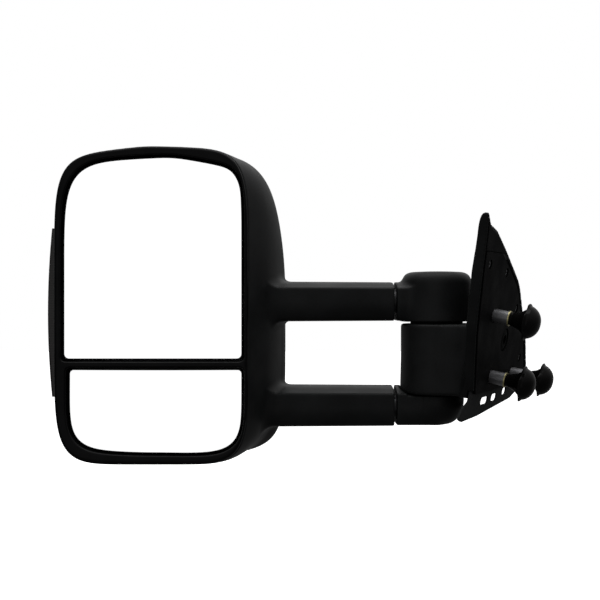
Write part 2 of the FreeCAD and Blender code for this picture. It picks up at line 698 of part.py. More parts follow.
on_axis("upper_knuckle", shaped("knuckle_upper", upper_knuckle()))
on_axis("lower_knuckle", shaped("knuckle_lower", lower_knuckle()))
on_axis("pivot_plug", turned("plug", [
    (0, -70.6), (12, -70.6), (12, -62.95), (13.2, -62.95), (12.4, -62.1), (0, -62.1)]))
UPPER = "upper_arm_z"
LOWER = "upper_arm_z - arm_pitch - lower_tube_drop"
arm_tube("upper_arm_tube", UPPER)
arm_tube("lower_arm_tube", LOWER)
tube_stop("upper_tube_stop", UPPER)
tube_stop("lower_tube_stop", LOWER)


def set_screws():
    shapes = []
    for middle_z, tube_z in ((size("upper_arm_z"), size("upper_arm_z")), (lower_arm_z(), lower_tube_z())):
        low = middle_z - size("arm_height") / 2
        top = tube_z - size("tube_radius")
        shape = Part.makeCylinder(2.45, top - low - 0.6, Vector(SET_SCREW_X, 0, low + 0.5))
        shapes.append(shape.cut(Part.makeCylinder(1.2, 2, Vector(SET_SCREW_X, 0, low))))
    return Part.makeCompound(shapes)


node("tube_set_screws", shaped("set_screw_pair", set_screws()))

# ---------------------------------------------------------------- head: shell and bezel

# Outline exponents in the order upper right, upper left, lower left, lower right.
BEZEL_SQUARES = (6.2, 6.6, 6.1, 6.4)
BEZEL_DROPS = (0.13, 0.04)
# The shell's sections, front to back: depth, outboard side, inboard side, bottom, top, exponents and drops.
SHELL_SECTIONS = [
    (-54.8, -92.2, 92.2, -150.7, 150.7, (6.2, 6.6, 6.1, 6.4), (0.13, 0.04)),
    (-25, -97, 110.9, -154, 150.6, (5.1, 5.4, 5.2, 4.6), (0.12, 0.04)),
    (5, -99, 121.4, -152.6, 152.3, (4.2, 4.2, 4.3, 4.5), (0.1, 0.04)),
    (32, -95, 125, -147, 144.5, (2.5, 3.6, 3.8, 6.3), (0.08, 0.03)),
    (54, -80, 110, -129, 125, (2.4, 3, 3, 3.4), (0.05, 0.01)),
    (70, -44, 68, -84, 80, (2.2, 2.3, 2.3, 2.3), (0, 0)),
]
ARM_LEVELS = (size("upper_arm_z") - size("head_z"), lower_arm_z() - size("head_z"))
TUBE_LEVELS = (size("upper_arm_z") - size("head_z"), lower_tube_z() - size("head_z"))
SLEEVE_END = size("sleeve_end") - size("head_x")


def smooth(before, start, end, after, share):
    """A value part of the way from start to end, on the smooth curve through four neighbours."""
    slope_in = (end - before) / 2
    slope_out = (after - start) / 2
    cube = 2 * start - 2 * end + slope_in + slope_out
    square = 3 * end - 3 * start - 2 * slope_in - slope_out
    return ((cube * share + square) * share + slope_in) * share + start


def shell_section(share):
    """Depth, sides, bottom, top, exponents and drops of the shell, share running from 0 at the front to 1."""
    last = len(SHELL_SECTIONS) - 1
    first = min(int(share * last), last - 1)
    part = share * last - first
    rows = []
    for i in (first - 1, first, first + 1, first + 2):
        row = SHELL_SECTIONS[max(0, min(last, i))]
        rows.append(list(row[:5]) + list(row[5]) + list(row[6]))
    return [smooth(a, b, c, d, part) for a, b, c, d in zip(*rows)]


def shell_body(inset, steps=12):
    """The closed form of the shell, every section drawn smaller by an inset."""
    wires = []
    for i in range(steps + 1):
        depth, left, right, low, top, *shape = shell_section(i / steps)
        if inset and i == 0:
            depth = depth - 1
        if inset and i == steps:
            depth = depth - inset
        squares, drops = shape[:4], shape[4:]
        wires.append(oval(left + inset, right - inset, low + inset, top - inset, squares, depth, drops, 44))
    return Part.makeLoft(wires, True, True)


# Places along a sleeve and how far it stands out there past its open end's section.
SLEEVE_GROWTH = [(84, 7), (110, 6.4), (114.5, 3.6), (119, 1.9), (126, 1.1), (SLEEVE_END, 0)]
FRAME_POSTS = [(-62, 100), (78, 100), (-62, -45), (80, -45)]


def head_shell():
    wall = size("shell_wall")
    form = shell_body(0)
    root = SLEEVE_GROWTH[0][0]
    outer = form
    for level in ARM_LEVELS:
        wires = [arm_section(x, -grow, level) for x, grow in SLEEVE_GROWTH]
        outer = outer.fuse(Part.makeLoft(wires, True, True))
    inner = shell_body(wall)
    tools = [inner]
    for level in ARM_LEVELS:
        start = root - 4
        tools.append(slab(arm_section(start, 3, level), Vector(SLEEVE_END - start + 1, 0, 0)))
    shape = outer.cut(tools)
    back = size("frame_back")
    for x, z in FRAME_POSTS:
        post = Part.makeCylinder(size("post_radius"), 120, Vector(x, back, z), Vector(0, 1, 0))
        pilot = Part.makeCylinder(size("screw_radius"), 16, Vector(x, back - 1, z), Vector(0, 1, 0))
        shape = shape.fuse(post.common(form)).cut(pilot)
    front = size("lamp_front")
    window = Part.makeBox(20, size("lamp_rear") - front - 2, size("lamp_top") - size("lamp_low") - 2,
                          Vector(-104, front + 1, size("lamp_low") + 1))
    return shape.cut(window).removeSplitter()


def glass_wire(upper, grow, y):
    """Outline of a glass, drawn larger by an amount."""
    if upper:
        return arch(-82.4 - grow, 15, 85 + grow, 10, 139.3 + grow, (9.9, 6), (0.064, 0.2), y, 4.5 + grow,
                    -50.2 - grow)
    return arch(-77.4 - grow, 0, 84.9 + grow, -68, -138.7 - grow, (5.3, 5.4), (0.043, -0.02), y, 3.5 + grow,
                -61.3 + grow)


def glass_slab(upper, grow, front, back):
    return slab(glass_wire(upper, grow, front), Vector(0, back - front, 0))


def bezel_frame():
    front = size("bezel_front")
    seam = front + size("bezel_flange")
    back = size("bezel_back")
    wide = size("head_half_width")
    high = size("head_half_height")
    step = size("bezel_step")
    flange = oval(-wide, wide, -high, high, BEZEL_SQUARES, front, BEZEL_DROPS)
    flange = slab(flange, Vector(0, seam - front, 0))
    rim = [e for e in flange.Edges if abs(e.BoundBox.YMax - front) < 0.01]
    flange = flange.makeFillet(2.2, rim)
    band = oval(step - wide, wide - step, step - high, high - step, BEZEL_SQUARES, seam, BEZEL_DROPS)
    band = slab(band, Vector(0, back - seam, 0))
    shape = flange.fuse(band)
    gap = size("glass_gap")
    for upper in (True, False):
        shape = shape.cut(glass_slab(upper, gap, front - 1, back + 1))
    return shape


in_head("head_shell", shaped("shell", head_shell()))
in_head("bezel_frame", shaped("bezel", bezel_frame()))

# ---------------------------------------------------------------- head: outboard indicator


def lamp_form(inset):
    """Bowed bar of the indicator: flat where it meets the shell, arched outboard."""
    low = size("lamp_low") + inset
    top = size("lamp_top") - inset
    seat = size("lamp_seat")
    edge = size("lamp_edge") + inset
    crown = Vector(size("lamp_bulge") + inset, 0, (low + top) / 2)
    corners = [Vector(seat, 0, low), Vector(edge, 0, low), Vector(edge, 0, top), Vector(seat, 0, top)]
    edges = [
        Part.LineSegment(corners[0], corners[1]).toShape(),
        Part.Arc(corners[1], crown, corners[2]).toShape(),
        Part.LineSegment(corners[2], corners[3]).toShape(),
        Part.LineSegment(corners[3], corners[0]).toShape(),
    ]
    front = size("lamp_front") + inset
    wire = Part.Wire(edges)
    wire.translate(Vector(0, front, 0))
    return slab(wire, Vector(0, size("lamp_rear") - inset - front, 0))


LAMP_GAP = 1.2


def indicator_lens():
    """Smoked lens with a rounded outer edge, hollow behind."""
    shape = lamp_form(LAMP_GAP)
    crown = [e for e in shape.Edges if e.BoundBox.XMin < size("lamp_edge") + 1 and e.Length > 20]
    shape = shape.makeFillet(2, crown)
    hollow = lamp_form(LAMP_GAP + 2)
    hollow.translate(Vector(0.5, 0, 0))
    return shape.cut(hollow)


def indicator_housing():
    """Open tray behind the lens."""
    front = size("lamp_front") + LAMP_GAP
    deep = size("lamp_rear") - LAMP_GAP - front
    low = size("lamp_low") + LAMP_GAP
    tall = size("lamp_top") - LAMP_GAP - low
    seat = size("lamp_seat")
    tray = Part.makeBox(size("lamp_tray"), deep, tall, Vector(seat, front, low))
    open_part = size("lamp_tray") - size("lamp_floor")
    return tray.cut(Part.makeBox(open_part, deep - 4, tall - 4, Vector(seat, front + 2, low + 2)))


def led_board():
    """Circuit board with its row of lamps."""
    seat = size("lamp_seat")
    front = size("lamp_front") + LAMP_GAP + 2.4
    deep = size("lamp_rear") - LAMP_GAP - 2.4 - front
    low = size("lamp_low") + 6
    tall = size("lamp_top") - 6 - low
    thick = 1.6
    back = seat + size("lamp_tray") - size("lamp_floor") - thick
    shape = Part.makeBox(thick, deep, tall, Vector(back, front, low))
    count = 6
    for i in range(count):
        z = low + tall * (i + 0.5) / count
        shape = shape.fuse(Part.makeBox(1.6, 5, 5, Vector(back - 1.6, front + deep / 2 - 2.5, z - 2.5)))
    return shape


in_head("indicator_lens", shaped("lens", indicator_lens()))
in_head("indicator_housing", shaped("lamp_tray", indicator_housing()))
in_head("led_board", shaped("lamp_board", led_board()))

# ---------------------------------------------------------------- head: support frame and bushes

NEAR_BUSH = (-262, -242)
MOUTH_BUSH = (-126.2, -107.2)


def support_frame():
    """Moulded plate behind the glasses with the two saddles that run on the arm tubes."""
    front = size("frame_front")
    thick = size("frame_back") - front
    shape = slab(oval(-80, 84, -136, 132, (4, 3.6, 3.6, 4), front), Vector(0, thick, 0))
    start = NEAR_BUSH[0] - size("head_x")
    long = NEAR_BUSH[1] - NEAR_BUSH[0]
    for level in TUBE_LEVELS:
        saddle = Part.makeCylinder(19.5, long, Vector(start, 0, level), Vector(1, 0, 0))
        strut = Part.makeBox(long, 6, 30, Vector(start, front, level - 15))
        shape = shape.fuse([saddle, strut])
    for x in (-53, 62):
        shape = shape.fuse(Part.makeBox(3, 9, 200, Vector(x, front, -90)))
    for level in TUBE_LEVELS:
        shape = shape.cut(Part.makeCylinder(16.05, 400, Vector(start - 0.1, 0, level), Vector(1, 0, 0)))
        shape = shape.cut(Part.makeCylinder(15.4, 400, Vector(start - 300, 0, level), Vector(1, 0, 0)))
    for x, z in FRAME_POSTS:
        shape = shape.cut(Part.makeCylinder(2.2, 20, Vector(x, front - 5, z), Vector(0, 1, 0)))
    for x, z in ((size("upper_tilt_x"), size("upper_tilt_z") - 20), (-58, -60)):
        shape = shape.cut(Part.makeCylinder(7, 20, Vector(x, front - 5, z), Vector(0, 1, 0)))
    return shape


def frame_screws():
    turn = Rotation(Vector(1, 0, 0), 90)
    front = size("frame_front")
    return Part.makeCompound([screw(Vector(x, front, z), turn, 4, 2.4, 1.95, 14) for x, z in FRAME_POSTS])


def mouth_bush(name, arm_z, tube_z):
    """Block bush that fills the mouth of a sleeve and slides on the tube."""
    start, end = MOUTH_BUSH
    block = slab(arm_section(start, size("wall") + size("running_gap"), arm_z), Vector(end - start, 0, 0))
    bore = Part.makeCylinder(size("tube_radius") + size("running_gap"), end - start + 2,
                             Vector(start - 1, 0, tube_z), Vector(1, 0, 0))
    return node(name, shaped(name + "_block", block.cut(bore)))


def saddle_bush(name, level):
    item = ring(name, 16, "tube_radius + running_gap", NEAR_BUSH[0], NEAR_BUSH[1])
    return node(name, item, 0, 0, level, ALONG_X)


in_head("support_frame", shaped("frame", support_frame()))
in_head("frame_screws", shaped("frame_screw_set", frame_screws()))
mouth_bush("upper_mouth_bush", size("upper_arm_z"), size("upper_arm_z"))
mouth_bush("lower_mouth_bush", lower_arm_z(), lower_tube_z())
saddle_bush("upper_saddle_bush", UPPER)
saddle_bush("lower_saddle_bush", LOWER)

# ---------------------------------------------------------------- head: tilt drive and gimbals


def ears(along_x, base, tip):
    """Two ears about a tilt centre, bored for the journals of a gimbal cross."""
    near = size("ear_near")
    thick = size("ear_far") - near
    half = size("ear_half")
    low = min(base, tip)
    deep = abs(tip - base)
    bore = size("pin_radius") + size("running_gap")
    shapes = []
    for start in (near, -near - thick):
        if along_x:
            ear = Part.makeBox(thick, deep, 2 * half, Vector(start, low, -half))
            hole = Part.makeCylinder(bore, thick + 2, Vector(start - 1, size("tilt_y"), 0), Vector(1, 0, 0))
        else:
            ear = Part.makeBox(2 * half, deep, thick, Vector(-half, low, start))
            hole = Part.makeCylinder(bore, thick + 2, Vector(0, size("tilt_y"), start - 1))
        shapes.append(ear.cut(hole))
    return shapes


def gimbal():
    """Cross with journals along X and Z, drawn about its own centre."""
    reach = size("pin_reach")
    radius = size("pin_radius")
    block = Part.makeBox(12, 8, 12, Vector(-6, -4, -6))
    pin_x = Part.makeCylinder(radius, 2 * reach, Vector(-reach, 0, 0), Vector(1, 0, 0))
    pin_z = Part.makeCylinder(radius, 2 * reach, Vector(0, 0, -reach))
    return block.fuse([pin_x, pin_z])


JACKS = ((0, -1), (1, 0))


def actuator_body():
    """Cup of the tilt drive, drawn about the upper tilt centre."""
    seam = size("actuator_seam")
    back = size("frame_front")
    radius = size("actuator_radius")
    cup = Part.makeCylinder(radius, back - seam, Vector(0, seam, 0), Vector(0, 1, 0))
    return cup.cut(Part.makeCylinder(radius - 2, back - seam - 2, Vector(0, seam, 0), Vector(0, 1, 0)))


def actuator_cover():
    front = size("actuator_front")
    seam = size("actuator_seam")
    lever = size("jack_lever")
    shape = Part.makeCylinder(size("actuator_radius"), seam - front, Vector(0, front, 0), Vector(0, 1, 0))
    shape = shape.fuse(ears(True, front + 0.5, size("tilt_y") - size("ear_half")))
    for x, z in JACKS:
        hole = Part.makeCylinder(size("jack_radius") + size("running_gap"), 20,
                                 Vector(x * lever, front - 5, z * lever), Vector(0, 1, 0))
        shape = shape.cut(hole)
    return shape


def jack_plunger():
    """Screw jack with its ball end, drawn along -Y from its inner end."""
    radius = size("jack_radius")
    back = -27
    ball = size("plate_rear") + radius + 0.12
    rod = Part.makeCylinder(radius, 12, Vector(0, back, 0), Vector(0, -1, 0))
    neck = Part.makeCylinder(radius - 1, back - ball, Vector(0, back, 0), Vector(0, -1, 0))
    return rod.fuse([neck, Part.makeSphere(radius, Vector(0, ball, 0))])


def motor(x, z, upright):
    """Small motor with its worm, lying in the actuator."""
    middle = (size("actuator_seam") + size("frame_front")) / 2 - 1
    axis = Vector(0, 0, 1) if upright else Vector(1, 0, 0)
    start = Vector(x, middle, z)
    can = Part.makeCylinder(4.2, 18, start, axis)
    return can.fuse(Part.makeCylinder(1.6, 6, start - axis * 6, axis))


def lower_pivot_post():
    """Fixed post that carries the lower glass."""
    front = size("actuator_front")
    back = size("frame_front")
    disc = Part.makeCylinder(20, 3, Vector(0, front, 0), Vector(0, 1, 0))
    stem = Part.makeCylinder(12, back - front, Vector(0, front, 0), Vector(0, 1, 0))
    foot = Part.makeCylinder(18, 3, Vector(0, back - 3, 0), Vector(0, 1, 0))
    return disc.fuse([stem, foot] + ears(True, front + 0.5, size("tilt_y") - size("ear_half")))


def at_upper(name, item, x=0, z=0):
    return in_head(name, item, "upper_tilt_x + (%s)" % x, 0, "upper_tilt_z + (%s)" % z)


def at_lower(name, item):
    return in_head(name, item, "lower_tilt_x", 0, "lower_tilt_z")


at_upper("actuator_body", shaped("drive_cup", actuator_body()))
at_upper("actuator_cover", shaped("drive_cover", actuator_cover()))
at_upper("tilt_motor_vertical", shaped("motor_one", motor(-12, -10, True)))
at_upper("tilt_motor_horizontal", shaped("motor_two", motor(-2, 20, False)))
at_upper("jack_vertical", shaped("jack_one", jack_plunger()), 0, "-jack_lever")
at_upper("jack_horizontal", shaped("jack_two", jack_plunger()), "jack_lever", 0)
at_lower("lower_pivot_post", shaped("post", lower_pivot_post()))
in_head("upper_gimbal", shaped("cross_upper", gimbal()), "upper_tilt_x", "tilt_y", "upper_tilt_z")
in_head("lower_gimbal", shaped("cross_lower", gimbal()), "lower_tilt_x", "tilt_y", "lower_tilt_z")

# ---------------------------------------------------------------- glasses


def backing_plate(upper):
    """Moulded carrier of a glass: plate, rim round the glass and the ears on its back."""
    rim = size("rim_width")
    front = size("pad_back" if upper else "wide_back")
    rear = size("plate_rear")
    shape = glass_slab(upper, rim, front, rear)
    band = glass_slab(upper, rim, size("rim_face") if upper else -52.4, front)
    shape = shape.fuse(band.cut(glass_slab(upper, 0.15, -70, front)))
    word = "upper" if upper else "lower"
    middle = Vector(size(word + "_tilt_x"), 0, size(word + "_tilt_z"))
    additions = ears(False, rear - 0.5, size("tilt_y") + size("ear_half"))
    if upper:
        lever = size("jack_lever")
        bore = size("jack_cup")
        for x, z in JACKS:
            spot = Vector(x * lever, rear - 0.5, z * lever)
            cup = Part.makeCylinder(bore + 1.6, 4.2, spot, Vector(0, 1, 0))
            cup = cup.cut(Part.makeCylinder(bore, 4.2, spot + Vector(0, 0.5, 0), Vector(0, 1, 0)))
            additions.append(cup)
    for item in additions:
        item.translate(middle)
    return shape.fuse(additions).removeSplitter()


def wide_glass():
    """Wide-angle glass: convex in front, flat behind."""
    radius = size("wide_radius")
    apex = size("wide_apex")
    centre = Vector(size("lower_tilt_x"), apex + radius, size("lower_tilt_z"))
    front = Part.makeSphere(radius, centre)
    return glass_slab(False, 0, apex - 2, size("wide_back")).common(front)


in_head("upper_backing_plate", shaped("carrier_upper", backing_plate(True)))
in_head("lower_backing_plate", shaped("carrier_lower", backing_plate(False)))
in_head("heater_pad", shaped("heater", glass_slab(True, -3, size("glass_back"), size("pad_back"))))
in_head("upper_glass", shaped("glass_upper", glass_slab(True, 0, size("glass_face"), size("glass_back"))))
in_head("lower_glass", shaped("glass_lower", wide_glass()))

# ---------------------------------------------------------------- checks and files

doc.recompute()
for item in doc.Objects:
    if "Invalid" in item.State or "Error" in item.State:
        raise RuntimeError("%s did not recompute" % item.Label)
for name, item in NODES.items():
    if item.Shape.isNull() or not item.Shape.isValid():
        raise RuntimeError("%s has no valid shape" % name)
os.makedirs("parts", exist_ok=True)
for name, item in NODES.items():
    item.Shape.exportStep("parts/%s.step" % name)
print(len(NODES), "sub-parts written")
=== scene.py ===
"""Looks of the telescoping towing mirror: studio, camera, materials and the finished outer mouldings.

The mouldings are sculpted as distance fields in millimetres, in the part's own frame or in the plane
of the door face, and meshed in metres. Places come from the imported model's boxes, joints and mounts.
"""

import json
import math

import bpy
import numpy as np
import openvdb as vdb
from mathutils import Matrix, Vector


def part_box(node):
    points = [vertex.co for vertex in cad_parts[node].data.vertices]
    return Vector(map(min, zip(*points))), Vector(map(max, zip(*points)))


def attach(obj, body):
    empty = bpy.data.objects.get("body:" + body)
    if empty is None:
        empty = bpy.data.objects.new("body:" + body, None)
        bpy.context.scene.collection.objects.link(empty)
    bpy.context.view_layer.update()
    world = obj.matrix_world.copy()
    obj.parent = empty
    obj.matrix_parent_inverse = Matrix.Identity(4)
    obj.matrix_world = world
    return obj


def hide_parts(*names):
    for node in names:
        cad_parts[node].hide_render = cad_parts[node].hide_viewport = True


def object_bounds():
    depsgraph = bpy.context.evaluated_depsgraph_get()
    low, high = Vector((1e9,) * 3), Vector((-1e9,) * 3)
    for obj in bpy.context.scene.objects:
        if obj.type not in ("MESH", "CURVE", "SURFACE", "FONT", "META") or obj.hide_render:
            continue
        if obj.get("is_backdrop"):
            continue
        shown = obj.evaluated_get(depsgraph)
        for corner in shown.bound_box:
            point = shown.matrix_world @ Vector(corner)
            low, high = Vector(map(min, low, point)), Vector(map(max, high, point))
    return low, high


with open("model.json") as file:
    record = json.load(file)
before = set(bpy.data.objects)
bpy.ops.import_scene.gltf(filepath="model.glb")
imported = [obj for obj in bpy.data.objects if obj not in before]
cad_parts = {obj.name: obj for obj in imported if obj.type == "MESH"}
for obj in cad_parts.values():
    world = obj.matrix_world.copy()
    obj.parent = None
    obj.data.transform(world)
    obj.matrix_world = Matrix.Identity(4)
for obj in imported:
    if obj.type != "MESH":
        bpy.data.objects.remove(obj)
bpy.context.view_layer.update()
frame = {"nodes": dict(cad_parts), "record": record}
MM = 0.001

# ---------------------------------------------------------------- places taken from the frame

JOINTS = {joint["name"]: joint for joint in frame["record"]["behaviour"]["joints"]}
MOUNTS = {mount["name"]: mount for mount in frame["record"]["mounts"]}


def span(node):
    """A node's lowest and highest corners, in millimetres."""
    low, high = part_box(node)
    return np.array(low) / MM, np.array(high) / MM


FOLD = np.array(JOINTS["arm_fold"]["pos_m"]) / MM
BEZEL_LOW, BEZEL_HIGH = span("bezel_frame")
SHELL_LOW, SHELL_HIGH = span("head_shell")
UPPER_LOW, UPPER_HIGH = span("upper_knuckle")
LOWER_LOW, LOWER_HIGH = span("lower_knuckle")
HEAD_X = (BEZEL_LOW[0] + BEZEL_HIGH[0]) / 2
HEAD_Z = (BEZEL_LOW[2] + BEZEL_HIGH[2]) / 2
SLEEVE_END = SHELL_HIGH[0]
SAIL_N = np.array(MOUNTS["door_face"]["axis"])
SAIL_A = np.cross((0, 0, 1), SAIL_N)
SAIL_A = SAIL_A / np.linalg.norm(SAIL_A)
SAIL_B = np.cross(SAIL_N, SAIL_A)
SAIL_TURN = np.array([SAIL_A, SAIL_B, SAIL_N]).T
STUDS = [np.array(MOUNTS["door_spigot_%d" % i]["pos_m"]) / MM for i in (1, 2, 3)]

# ---------------------------------------------------------------- distance fields, in millimetres


def soft_min(a, b, blend):
    """Smaller of two fields, rounded over where they meet."""
    share = np.clip(0.5 + 0.5 * (b - a) / blend, 0, 1)
    return b + (a - b) * share - blend * share * (1 - share)


def soft_max(a, b, blend):
    return -soft_min(-a, -b, blend)


def evened(field, step):
    """Scale a field so that it measures true distance near its surface."""
    slopes = [np.gradient(field, step, axis=i) for i in range(field.ndim) if field.shape[i] > 1]
    slope = np.sqrt(sum(s * s for s in slopes))
    return field / np.maximum(slope, 0.05)


def super_ellipse(dx, dz, half_x, half_z, powers):
    """1 on an outline of four quarter super-ellipses: upper right, upper left, lower left, lower right."""
    power = np.where(dz > 0, np.where(dx > 0, powers[0], powers[1]), np.where(dx > 0, powers[3], powers[2]))
    return ((np.abs(dx) / half_x) ** power + (np.abs(dz) / half_z) ** power) ** (1 / power)


def facets(u, v, corners, blends):
    """Field of a convex section by its corners in order; each corner is eased by its own blend."""
    field = None
    count = len(corners)
    middle = np.mean(corners, axis=0)
    for i in range(count):
        u0, v0 = corners[i]
        u1, v1 = corners[(i + 1) % count]
        nu, nv = v1 - v0, u0 - u1
        length = math.hypot(nu, nv)
        nu, nv = nu / length, nv / length
        if (middle[0] - u0) * nu + (middle[1] - v0) * nv > 0:
            nu, nv = -nu, -nv
        plane = (u - u0) * nu + (v - v0) * nv
        field = plane if field is None else soft_max(field, plane, blends[i])
    return field


def outline_field(u, v, corners):
    """Signed distance to a closed run of straight lines."""
    best = np.full(np.broadcast(u, v).shape, 1e9)
    inside = np.zeros(best.shape, dtype=bool)
    for (u0, v0), (u1, v1) in zip(corners, corners[1:] + corners[:1]):
        du, dv = u1 - u0, v1 - v0
        share = np.clip(((u - u0) * du + (v - v0) * dv) / (du * du + dv * dv), 0, 1)
        best = np.minimum(best, np.hypot(u - u0 - share * du, v - v0 - share * dv))
        if dv != 0:
            inside ^= ((v0 > v) != (v1 > v)) & (u < u0 + (v - v0) * du / dv)
    return np.where(inside, -best, best)


def eased(corners, steps=7):
    """Run of points round an outline whose corners (u, v, radius) are tangent arcs."""
    points = []
    for i, (u, v, radius) in enumerate(corners):
        here = Vector((u, v))
        back = (Vector(corners[i - 1][:2]) - here).normalized()
        ahead = (Vector(corners[(i + 1) % len(corners)][:2]) - here).normalized()
        half = back.angle(ahead) / 2
        centre = here + (back + ahead).normalized() * (radius / math.sin(half))
        start = here + back * (radius / math.tan(half)) - centre
        end = here + ahead * (radius / math.tan(half)) - centre
        turn = start.angle_signed(end)
        for j in range(steps):
            angle = -turn * j / (steps - 1)
            c, s = math.cos(angle), math.sin(angle)
            points.append((centre.x + start.x * c - start.y * s, centre.y + start.x * s + start.y * c))
    return points


def meshed(name, low, high, step, field, turn=None, shift=(0, 0, 0)):
    """Mesh the zero surface of field(x, y, z) in a box, then turn and shift it into place."""
    low = np.array(low, dtype=float)
    count = np.ceil((np.array(high) - low) / step).astype(int) + 1
    axes = [(low[i] + step * np.arange(count[i])).astype(np.float32) for i in range(3)]
    values = field(axes[0][:, None, None], axes[1][None, :, None], axes[2][None, None, :])
    values = np.broadcast_to(values, tuple(count)).astype(np.float32)
    grid = vdb.FloatGrid(4.0 * step)
    grid.copyFromArray(np.clip(values, -4 * step, 4 * step))
    points, quads = grid.convertToQuads(isovalue=0.0)
    points = points * step + low
    if turn is not None:
        points = points @ turn.T
    points = (points + np.array(shift)) * MM
    mesh = bpy.data.meshes.new(name)
    mesh.vertices.add(len(points))
    mesh.vertices.foreach_set("co", points.astype(np.float32).ravel())
    mesh.loops.add(4 * len(quads))
    mesh.loops.foreach_set("vertex_index", quads[:, ::-1].astype(np.int32).ravel())
    mesh.polygons.add(len(quads))
    mesh.polygons.foreach_set("loop_start", np.arange(0, 4 * len(quads), 4, dtype=np.int32))
    mesh.polygons.foreach_set("loop_total", np.full(len(quads), 4, dtype=np.int32))
    mesh.polygons.foreach_set("use_smooth", np.ones(len(quads), dtype=bool))
    mesh.update(calc_edges=True)
    mesh.validate()
    piece = bpy.data.objects.new(name, mesh)
    bpy.context.collection.objects.link(piece)
    return piece


# ---------------------------------------------------------------- procedural materials


class Sheet:
    """A node material being put together."""

    def __init__(self, name):
        self.material = bpy.data.materials.new(name)
        self.material.use_nodes = True
        self.tree = self.material.node_tree
        self.shader = self.tree.nodes["Principled BSDF"]
        self.place = self.tree.nodes.new("ShaderNodeTexCoord").outputs["Object"]

    def node(self, kind, **values):
        item = self.tree.nodes.new(kind)
        for word, value in values.items():
            if hasattr(item, word):
                setattr(item, word, value)
            else:
                item.inputs[word.replace("_", " ").title()].default_value = value
        return item

    def link(self, a, b):
        self.tree.links.new(a, b)

    def noise(self, scale, detail=3.0, stretch=(1, 1, 1), rough=0.5):
        mapping = self.tree.nodes.new("ShaderNodeMapping")
        mapping.inputs["Scale"].default_value = stretch
        self.link(self.place, mapping.inputs["Vector"])
        item = self.tree.nodes.new("ShaderNodeTexNoise")
        item.inputs["Scale"].default_value = scale
        item.inputs["Detail"].default_value = detail
        item.inputs["Roughness"].default_value = rough
        self.link(mapping.outputs["Vector"], item.inputs["Vector"])
        return item.outputs["Fac"]

    def ramp(self, source, low, high, low_value, high_value):
        """Map a factor from low..high onto two values, clamped."""
        item = self.tree.nodes.new("ShaderNodeMapRange")
        item.inputs["From Min"].default_value = low
        item.inputs["From Max"].default_value = high
        item.inputs["To Min"].default_value = low_value
        item.inputs["To Max"].default_value = high_value
        self.link(source, item.inputs["Value"])
        return item.outputs["Result"]

    def mixed(self, factor, colour_a, colour_b):
        item = self.tree.nodes.new("ShaderNodeMix")
        item.data_type = "RGBA"
        for socket, value in ((item.inputs[6], colour_a), (item.inputs[7], colour_b)):
            if isinstance(value, tuple):
                socket.default_value = (*value, 1)
            else:
                self.link(value, socket)
        self.link(factor, item.inputs[0])
        return item.outputs[2]

    def bump(self, height, depth_mm, strength=1.0, under=None):
        item = self.tree.nodes.new("ShaderNodeBump")
        item.inputs["Strength"].default_value = strength
        item.inputs["Distance"].default_value = depth_mm * MM
        self.link(height, item.inputs["Height"])
        if under is not None:
            self.link(under, item.inputs["Normal"])
        return item.outputs["Normal"]

    def edges(self, low, high):
        """How far a point stands out on a convex edge, from 0 to 1."""
        geometry = self.tree.nodes.new("ShaderNodeNewGeometry")
        return self.ramp(geometry.outputs["Pointiness"], low, high, 0, 1)

    def set(self, **values):
        for word, value in values.items():
            socket = self.shader.inputs[word.replace("_", " ")]
            if isinstance(value, bpy.types.NodeSocket):
                self.link(value, socket)
            elif isinstance(value, tuple):
                socket.default_value = (*value, 1)
            else:
                socket.default_value = value
        return self.material


def moulding(name, colour, rough, gloss, grain_mm=0.55, depth_mm=0.03, painted_edge_highlight=0.0):
    """Textured injection moulding: pebbled grain, cloudy sheen and convex edges made faintly lighter as a
    painted highlight.
    """
    sheet = Sheet(name)
    grain = sheet.noise(1 / (grain_mm * MM) / 2.2, 2.0, rough=0.6)
    cloud = sheet.noise(28, 4.0)
    flow = sheet.noise(9, 2.0, (1, 1, 0.35))
    pale = tuple(min(1, c * 1.55 + 0.001) for c in colour)
    tint = sheet.mixed(sheet.ramp(cloud, 0.35, 0.7, 0, 1), colour, pale)
    # Painted highlight: the base colour is lightened on convex edges, found by pointiness.
    if painted_edge_highlight:
        painted_edge_mask = sheet.edges(0.52, 0.62)
        tint = sheet.mixed(painted_edge_mask, tint, tuple(c + painted_edge_highlight for c in colour))
    roughness = sheet.ramp(cloud, 0.3, 0.7, rough - 0.06, rough + 0.07)
    normal = sheet.bump(grain, depth_mm)
    normal = sheet.bump(flow, 0.25, 0.35, normal)
    return sheet.set(Base_Color=tint, Roughness=roughness, Specular_IOR_Level=gloss, Normal=normal)


def metal(name, colour, rough, turned=(1, 1, 1), tarnish=0.15):
    """Turned or drawn metal: fine lines, patchy polish and a little tarnish."""
    sheet = Sheet(name)
    lines = sheet.noise(900, 2.0, turned)
    patch = sheet.noise(70, 4.0)
    dull = tuple(c * 0.62 for c in colour)
    tint = sheet.mixed(sheet.ramp(patch, 0.45, 0.75, 0, tarnish * 4), colour, dull)
    roughness = sheet.ramp(lines, 0.3, 0.7, rough - 0.08, rough + 0.1)
    return sheet.set(Base_Color=tint, Metallic=1.0, Roughness=roughness, Normal=sheet.bump(lines, 0.012))


def silvering(name):
    """First-surface mirror: bright, very smooth, with the faintest cloudiness."""
    sheet = Sheet(name)
    film = sheet.noise(40, 3.0)
    tint = sheet.mixed(sheet.ramp(film, 0.4, 0.7, 0, 1), (0.985, 0.988, 0.99), (0.97, 0.975, 0.98))
    return sheet.set(Base_Color=tint, Metallic=1.0, Roughness=sheet.ramp(film, 0.3, 0.7, 0.008, 0.02))


